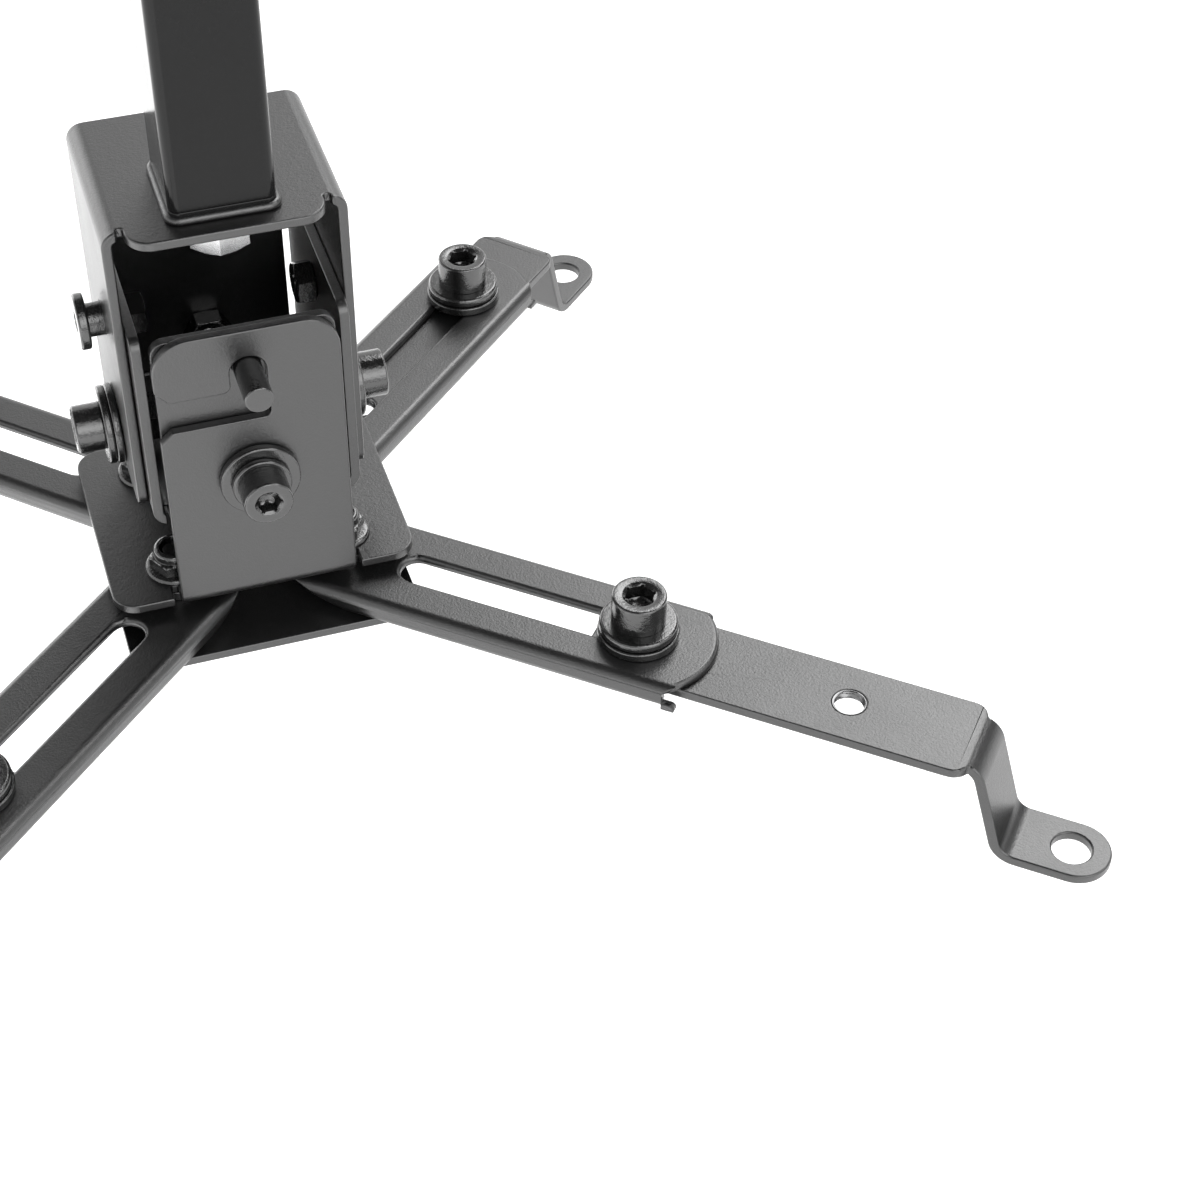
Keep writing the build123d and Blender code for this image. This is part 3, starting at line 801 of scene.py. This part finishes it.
# %% [markdown]
# Plain nuts sit inside the cross bracket, where little of them shows. The bright one below the roof
# holds the swivel, and stands at the angle at which the photograph shows its flats. A nut could be a
# six-sided prism, but the real one is turned round at its corners, and the lathe tree does that.

# %% Hexagon nuts
M4_NUT, M5_NUT, M6_NUT = 7.0 * MM, 8.0 * MM, 10.0 * MM
SWIVEL_NUT_SPIN = math.radians(21)
nuts = []
for side, joint in SIDES:
    node = "%s_%s_nut" % (side, joint)
    section = nut(M5_NUT, length_of(node, side), M5, M5_PITCH)
    nuts.append(dark_part(node, side, section, M5_PITCH))
for side in ("left", "right"):
    node = side + "_tilt_pivot_nut"
    section = nut(M4_NUT, length_of(node, side), M4, M4_PITCH)
    nuts.append(dark_part(node, side, section, M4_PITCH))
section = nut(M6_NUT, length_of("swivel_nut", "up"), M6, M6_PITCH)
nuts.append(bright_part("swivel_nut", section, SWIVEL_NUT_SPIN))
print("nuts:", len(nuts))

# %% [markdown]
# The swivel bolt's hexagon head is hidden in the column, and its thread shows below the bright nut.
# A thin bright washer lies between the nut and the roof.

# %% Swivel bolt and washer
low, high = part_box("swivel_washer")
section = ring((high.x - low.x) / 2, M6 + WASHER_PLAY, high.z - low.z, 0.25 * MM)
bright_part("swivel_washer", section)
bolt_length = length_of("swivel_bolt", "up")
half = M6_NUT / 2
seat = bolt_length - 4.0 * MM
section = shank(M6, seat, M6_PITCH, 9.5 * MM)
section += [row(half * 1.2, seat, half), row(half * 1.2, bolt_length - 0.5 * MM, half)]
section += [row(half, bolt_length, half), row(0.0, bolt_length)]
bright_part("swivel_bolt", section)
print("swivel bolt, mm:", round(bolt_length / MM, 1))

# %% [markdown]
# Each arm pivots on a locking nut with a flange under its hexagon and a round collar that holds a
# ring on top. The four bolts under them share one CAD node, and so do their spacers, so one piece
# with four stations stands for each.

# %% Arm pivots
PIVOT_HALF, PIVOT_HEX_TOP = 4.0 * MM, 3.3 * MM
FLANGE_RIM, FLANGE_TOP = 0.3 * MM, 1.0 * MM
COLLAR, COLLAR_RIM = 3.6 * MM, 0.7 * MM
PIVOT_BOLT_HEAD = {"head_radius": 4.75 * MM, "head_height": 2.7 * MM, "socket": 3.0 * MM}
SPACER_RADIUS = 5.5 * MM


def pivot_nut(flange, tall):
    """The section of a locking nut: flange, hexagon, collar and bore."""
    half, corner, top = PIVOT_HALF, PIVOT_HALF * HEX_CORNER, PIVOT_HEX_TOP
    rows = [row(M5, 0.2 * MM), row(M5 + 0.3 * MM, 0.0)]
    rows += arc(flange - FLANGE_RIM, FLANGE_RIM, FLANGE_RIM, -90, steps=2)
    rows += [row(5.35 * MM, 0.75 * MM), row(5.0 * MM, FLANGE_TOP)]
    rows += [row(corner, FLANGE_TOP + 0.05 * MM, half), row(corner, top - 0.45 * MM, half)]
    rows += [row((corner + half) / 2, top - 0.2 * MM, half), row(half * 0.97, top)]
    rows += [row(COLLAR + 0.1 * MM, top), row(COLLAR, top + 0.1 * MM)]
    rows += arc(COLLAR - COLLAR_RIM, tall - COLLAR_RIM, COLLAR_RIM, 0)
    rows += [row(M5 + 0.1 * MM, tall), row(M5 - 0.1 * MM, tall - 0.25 * MM)]
    return rows + [row(M5 - 0.1 * MM, 0.2 * MM), row(M5, 0.2 * MM)]


pivot_centres = []
for name in ARM_NAMES:
    node = name + "_pivot_nut"
    low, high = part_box(node)
    pivot_centres.append((low + high) / 2)
    dark_part(node, "up", pivot_nut((high.x - low.x) / 2, high.z - low.z))

low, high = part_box("arm_pivot_bolts")
stations = [Vector((centre.x, centre.y, high.z)) for centre in pivot_centres]
section = cap_screw(high.z - low.z, M5, M5_PITCH, threaded=6.0 * MM, **PIVOT_BOLT_HEAD)
dark_part("arm_pivot_bolts", "down", section, M5_PITCH, stations)
low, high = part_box("arm_pivot_spacers")
stations = [Vector((centre.x, centre.y, low.z)) for centre in pivot_centres]
section = ring(SPACER_RADIUS, M5 + 0.05 * MM, high.z - low.z, 0.2 * MM)
dark_part("arm_pivot_spacers", "up", section, M5_PITCH, stations)
print("arm pivots:", len(pivot_centres))

# %% [markdown]
# The hook pins are plain rods with a flat foot, riveted in the cross bracket. The lower bracket
# hangs on them by its L-shaped slots, and rolls on them. Their ends are rounded a little, which is
# all that sets them apart from a plain cylinder.

# %% Hook pins
PIN, PIN_RIM = 2.5 * MM, 0.3 * MM
FOOT, FOOT_EDGE, FOOT_THICK = 4.0 * MM, 0.25 * MM, 1.2 * MM
for side in ("front", "back"):
    node = side + "_hook_pin"
    tall = length_of(node, side)
    section = [row(0.0, 0.0)] + arc(FOOT - FOOT_EDGE, FOOT_EDGE, FOOT_EDGE, -90, steps=3)
    section += [row(FOOT, FOOT_THICK - 0.15 * MM), row(FOOT - 0.15 * MM, FOOT_THICK)]
    section += [row(PIN, FOOT_THICK)] + arc(PIN - PIN_RIM, tall - PIN_RIM, PIN_RIM, 0)
    section += [row(PIN * 0.5, tall), row(0.0, tall)]
    dark_part(node, side, section)
print("hook pins, mm:", round(tall / MM, 1))

# %% [markdown]
# The tilt pivots are shouldered screws. The smooth shoulder turns in the yoke's wall, and the thin
# round head has a small hexagon socket. They are written out row by row, because no other part of
# the mount is shaped like them.

# %% Tilt pivots
SHOULDER, SHOULDER_START = 3.0 * MM, 3.3 * MM
DISC, DISC_THICK, DISC_RIM = 5.0 * MM, 1.9 * MM, 0.45 * MM
SMALL_SOCKET, SMALL_SOCKET_DEPTH = 1.5 * MM, 1.2 * MM
for side in ("left", "right"):
    node = side + "_tilt_pivot_screw"
    tall = length_of(node, side)
    wide = 2 * SMALL_SOCKET
    section = shank(M4, SHOULDER_START, M4_PITCH, 3.0 * MM)
    section += [row(SHOULDER - 0.1 * MM, SHOULDER_START + 0.2 * MM)]
    section += [row(SHOULDER, SHOULDER_START + 0.3 * MM), row(SHOULDER, tall - DISC_THICK)]
    section += arc(DISC - DISC_RIM, tall - DISC_THICK + DISC_RIM, DISC_RIM, -90)
    section += arc(DISC - DISC_RIM, tall - DISC_RIM, DISC_RIM, 0)
    section += [row(2.0 * MM, tall), row(wide, tall - 0.25 * MM, SMALL_SOCKET)]
    section += [row(wide, tall - SMALL_SOCKET_DEPTH, SMALL_SOCKET)]
    section += [row(0.0, tall - SMALL_SOCKET_DEPTH - 0.2 * MM)]
    dark_part(node, side, section, M4_PITCH)
print("tilt pivot, mm:", round(tall / MM, 1))

# %% [markdown]
# Each foot strip has two threaded holes, and the arm's screw uses one of them. The empty one shows
# its thread, whose steel is painted dark as the shade inside the hole. A CAD hole is smooth, so a
# thin sleeve with the thread's ridges is set into it.

# %% Threads in the empty holes
HOLE_PITCH = 40.25 * MM
STRIP_THICK, STRIP_ABOVE_TIP = 2.0 * MM, 0.9 * MM
SLEEVE_INNER, SLEEVE_OUTER, SLEEVE_END = 2.62 * MM, 3.04 * MM, 0.05 * MM
RIDGE_ROWS, RIDGE_DEPTH, RIDGE_START = 14, 0.38 * MM, 0.15 * MM
sleeve_top = STRIP_THICK - SLEEVE_END
ridge_run = STRIP_THICK - 2 * RIDGE_START
section = [row(SLEEVE_OUTER, SLEEVE_END), row(SLEEVE_OUTER, sleeve_top)]
section += [row(SLEEVE_INNER + 0.3 * MM, sleeve_top)]
for k in range(RIDGE_ROWS + 1):
    height = STRIP_THICK - RIDGE_START - ridge_run * k / RIDGE_ROWS
    section += [row(SLEEVE_INNER, height, cut=-RIDGE_DEPTH)]
section += [row(SLEEVE_INNER + 0.3 * MM, SLEEVE_END), row(SLEEVE_OUTER, SLEEVE_END)]
for name, centre in zip(ARM_NAMES, pivot_centres):
    screw_at = foot_of(name + "_arm_screw", "up")
    along = Vector((screw_at.x - centre.x, screw_at.y - centre.y, 0.0)).normalized()
    way = -1 if name == "back_right" else 1
    spot = screw_at + along * (way * HOLE_PITCH)
    station = Vector((spot.x, spot.y, screw_at.z + STRIP_ABOVE_TIP))
    sleeve = turned_piece(name + "_thread", "up", section, thread_steel, M6_PITCH, [station])
    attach(sleeve, body_of(name + "_extension"))
print("threaded sleeves:", len(ARM_NAMES))

# %% [markdown]
# The column is welded to its end plate and to the ceiling plate by hand, and the bead is lumpy under
# the paint. A second tree lays it: a tube swept along the column's outline, whose radius follows a
# noise and the ripples of the weld, pressed flat where it meets the plate.

# %% The tree that lays a weld bead
BEAD_LUMPS, RIPPLE_HEIGHT = 1.3 * MM, 0.12
POINTS_ALONG, POINTS_ROUND = 320, 14


def welding_tree():
    """A tree that sweeps a lumpy bead along a path."""
    inputs = {"Path": "Geometry", "Bead Radius": "Float", "Ripple Length": "Float",
              "Lumpiness": "Float", "Lowest": "Float", "Highest": "Float", "Seed": "Float",
              "Finish": "Material"}
    tree, made = new_tree("weld_bead", inputs, "Bead")
    given = made.node("NodeGroupInput")
    line = made.node("GeometryNodeMeshToCurve", {}, {"Mesh": given["Path"]})["Curve"]
    sockets = {"Curve": line, "Count": POINTS_ALONG}
    fine = made.node("GeometryNodeResampleCurve", {}, sockets)["Curve"]
    along = made.node("GeometryNodeSplineParameter")["Length"]
    sockets = {"W": given["Seed"], "Scale": 1.0 / BEAD_LUMPS, "Detail": 2.0}
    lumps = made.node("ShaderNodeTexNoise", {"noise_dimensions": "4D"}, sockets)["Fac"] - 0.5
    ripple = along / given["Ripple Length"] * math.tau
    radius = 1.0 + ripple.math("SINE") * RIPPLE_HEIGHT + lumps * given["Lumpiness"]
    sockets = {"Curve": fine, "Radius": radius}
    swollen = made.node("GeometryNodeSetCurveRadius", {}, sockets)["Curve"]
    sockets = {"Resolution": POINTS_ROUND, "Radius": given["Bead Radius"]}
    circle = made.node("GeometryNodeCurvePrimitiveCircle", {}, sockets)["Curve"]
    sockets = {"Curve": swollen, "Profile Curve": circle}
    tube = made.node("GeometryNodeCurveToMesh", {}, sockets)["Mesh"]
    point = made.node("GeometryNodeInputPosition")["Position"]
    parts = made.node("ShaderNodeSeparateXYZ", {}, {"Vector": point})
    height = parts["Z"].math("MAXIMUM", given["Lowest"]).math("MINIMUM", given["Highest"])
    pressed = at_place(made, tube, parts["X"], parts["Y"], height)
    bead = real_in_finish(made, pressed, given["Finish"])
    made.node("NodeGroupOutput", {}, {"Bead": bead})
    return tree


weld_bead = welding_tree()
print("welder:", len(weld_bead.nodes), "nodes")

# %% [markdown]
# The path of a bead is the column's outline, with its rounded corners, at the level of the plate.
# The seeds differ, so the two beads have different lumps.

# %% Weld the column at both ends
COLUMN_CORNER = 1.8 * MM
CORNER_STEPS = 6
RIPPLE_LENGTH, LUMPINESS = 0.9 * MM, 1.3


def column_outline(level):
    """The column's outline at a level, from its CAD box, with rounded corners."""
    low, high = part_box("column_tube")
    centre, half = (low + high) / 2, (high.x - low.x) / 2
    points = []
    for quarter, (sx, sy) in enumerate(((1, 1), (-1, 1), (-1, -1), (1, -1))):
        for k in range(CORNER_STEPS + 1):
            angle = math.radians(90 * quarter + 90 / CORNER_STEPS * k)
            x = centre.x + sx * (half - COLUMN_CORNER) + COLUMN_CORNER * math.cos(angle)
            y = centre.y + sy * (half - COLUMN_CORNER) + COLUMN_CORNER * math.sin(angle)
            points.append((x, y, level))
    return points


def welded(name, level, lowest, highest, radius, seed):
    """A bead along the column's outline, pressed between two levels."""
    outline = column_outline(level)
    mesh = bpy.data.meshes.new(name)
    mesh.from_pydata(outline, [(k, (k + 1) % len(outline)) for k in range(len(outline))], [])
    piece = bpy.data.objects.new(name, mesh)
    scene.collection.objects.link(piece)
    given = {"Bead Radius": radius, "Ripple Length": RIPPLE_LENGTH, "Lumpiness": LUMPINESS}
    given.update({"Lowest": lowest, "Highest": highest, "Seed": seed, "Finish": black_coat})
    run_tree(piece, weld_bead, given)
    settled(piece, black_coat)
    piece.data.shade_smooth()
    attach(piece, body_of("column_tube"))
    return piece


end_low, end_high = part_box("column_end_plate")
foot_levels = (end_low.z + 0.5 * MM, end_low.z + 0.02 * MM, end_high.z + 1.0 * MM)
foot_bead = welded("column_foot_weld", *foot_levels, radius=0.85 * MM, seed=3.0)
tube_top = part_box("column_tube")[1].z
top_levels = (tube_top, tube_top - 2.0 * MM, tube_top + 0.1 * MM)
top_bead = welded("column_top_weld", *top_levels, radius=1.3 * MM, seed=8.0)
print("weld beads:", len(foot_bead.data.polygons) + len(top_bead.data.polygons), "faces")

# %% [markdown]
# The photograph was lit by a bright room with a dark ceiling: the upright faces mirror it, while the
# level ones stay black. Gloss black shows nothing but what it mirrors, so the world is built by
# direction: an even band low down, a dark top, four soft patches of window light, and one dark patch
# in the band.

# %% Light the room
LOW_LIGHT, HIGH_LIGHT = 1.15, 0.08
BAND_TOP, CEILING_START = math.radians(36), math.radians(46)
# Each patch: azimuth from +Y towards +X, elevation, inner and outer angle, then its strength.
WINDOWS = {
    "behind on the right": (42, 47, 9, 22, 5.6),
    "behind, low down": (-20, 6, 8, 22, 2.5),
    "in front": (165, 36, 12, 34, 2.4),
    "on the right": (100, 46, 6, 14, 5.0),
}
DARK_PATCH, DARK_SHARE = (80, 27, 9, 24), 0.88
scene.view_settings.view_transform = "Standard"
world = bpy.data.worlds.new("tent")
world.use_nodes = True
scene.world = world
room = Recipe(world.node_tree)
way = room.node("ShaderNodeTexCoord")["Generated"]
height = room.node("ShaderNodeSeparateXYZ", {}, {"Vector": way})["Z"]


def smooth_between(recipe, value, low, high):
    """From 0 at the low value to 1 at the high one, with soft ends."""
    settings = {"interpolation_type": "SMOOTHSTEP"}
    sockets = {"Value": value, "From Min": low, "From Max": high}
    return recipe.node("ShaderNodeMapRange", settings, sockets)["Result"]


def softbox(azimuth, elevation, inner, outer):
    """A soft round patch: one inside the inner angle, nothing outside the outer one."""
    turn, lift = math.radians(azimuth), math.radians(elevation)
    flat = math.cos(lift)
    centre = (math.sin(turn) * flat, math.cos(turn) * flat, math.sin(lift))
    product = {"operation": "DOT_PRODUCT"}
    facing = room.node("ShaderNodeVectorMath", product, {0: way, 1: centre})["Value"]
    edge, full = math.cos(math.radians(outer)), math.cos(math.radians(inner))
    return smooth_between(room, facing, edge, full)


dark_ceiling = smooth_between(room, height, math.sin(BAND_TOP), math.sin(CEILING_START))
strength = LOW_LIGHT + dark_ceiling * (HIGH_LIGHT - LOW_LIGHT)
for azimuth, elevation, inner, outer, gain in WINDOWS.values():
    strength = strength + softbox(azimuth, elevation, inner, outer) * gain
strength = strength * (1.0 - softbox(*DARK_PATCH) * DARK_SHARE)
background = world.node_tree.nodes["Background"]
background.inputs["Color"].default_value = (1, 1, 1, 1)
room.feed(background.inputs["Strength"], strength)
print("room:", len(WINDOWS), "windows")

# %% [markdown]
# The floor is white paper with a glow of its own, as a light table has. It glows more on the left,
# because the head's left wall mirrors it almost white, while the front faces stay a darker grey. It
# lies 40 mm below the feet, so that they don't dip into it when the head is tilted.

# %% Lay the floor
FRONT_GLOW, SIDE_GLOW = 0.56, 1.25
GLOW_FADE = (-50 * MM, -12 * MM)
FLOOR_DROP, FLOOR_REACH = 40 * MM, 3.0
PAPER_SHADE, PAPER_ROUGHNESS = 0.9, 0.9
floor_mesh = bpy.data.meshes.new("floor")
level = cad_box[0][2] - FLOOR_DROP
signs = ((-1, -1), (1, -1), (1, 1), (-1, 1))
corners = [(x * FLOOR_REACH, y * FLOOR_REACH, level) for x, y in signs]
floor_mesh.from_pydata(corners, [], [(0, 1, 2, 3)])
floor = bpy.data.objects.new("floor", floor_mesh)
scene.collection.objects.link(floor)
paper, recipe, shader, place = finish_named("white_paper")
shader.inputs["Base Color"].default_value = (PAPER_SHADE, PAPER_SHADE, PAPER_SHADE, 1.0)
shader.inputs["Roughness"].default_value = PAPER_ROUGHNESS
across = recipe.node("ShaderNodeSeparateXYZ", {}, {"Vector": place})["X"]
fade = smooth_between(recipe, across, head.x + GLOW_FADE[0], head.x + GLOW_FADE[1])
glow = 1.0 - fade * (1 - FRONT_GLOW / SIDE_GLOW)
recipe.feed(shader.inputs["Emission Color"], grey(recipe, glow))
shader.inputs["Emission Strength"].default_value = SIDE_GLOW
floor_mesh.materials.append(paper)
print("floor at, mm:", round(level / MM))
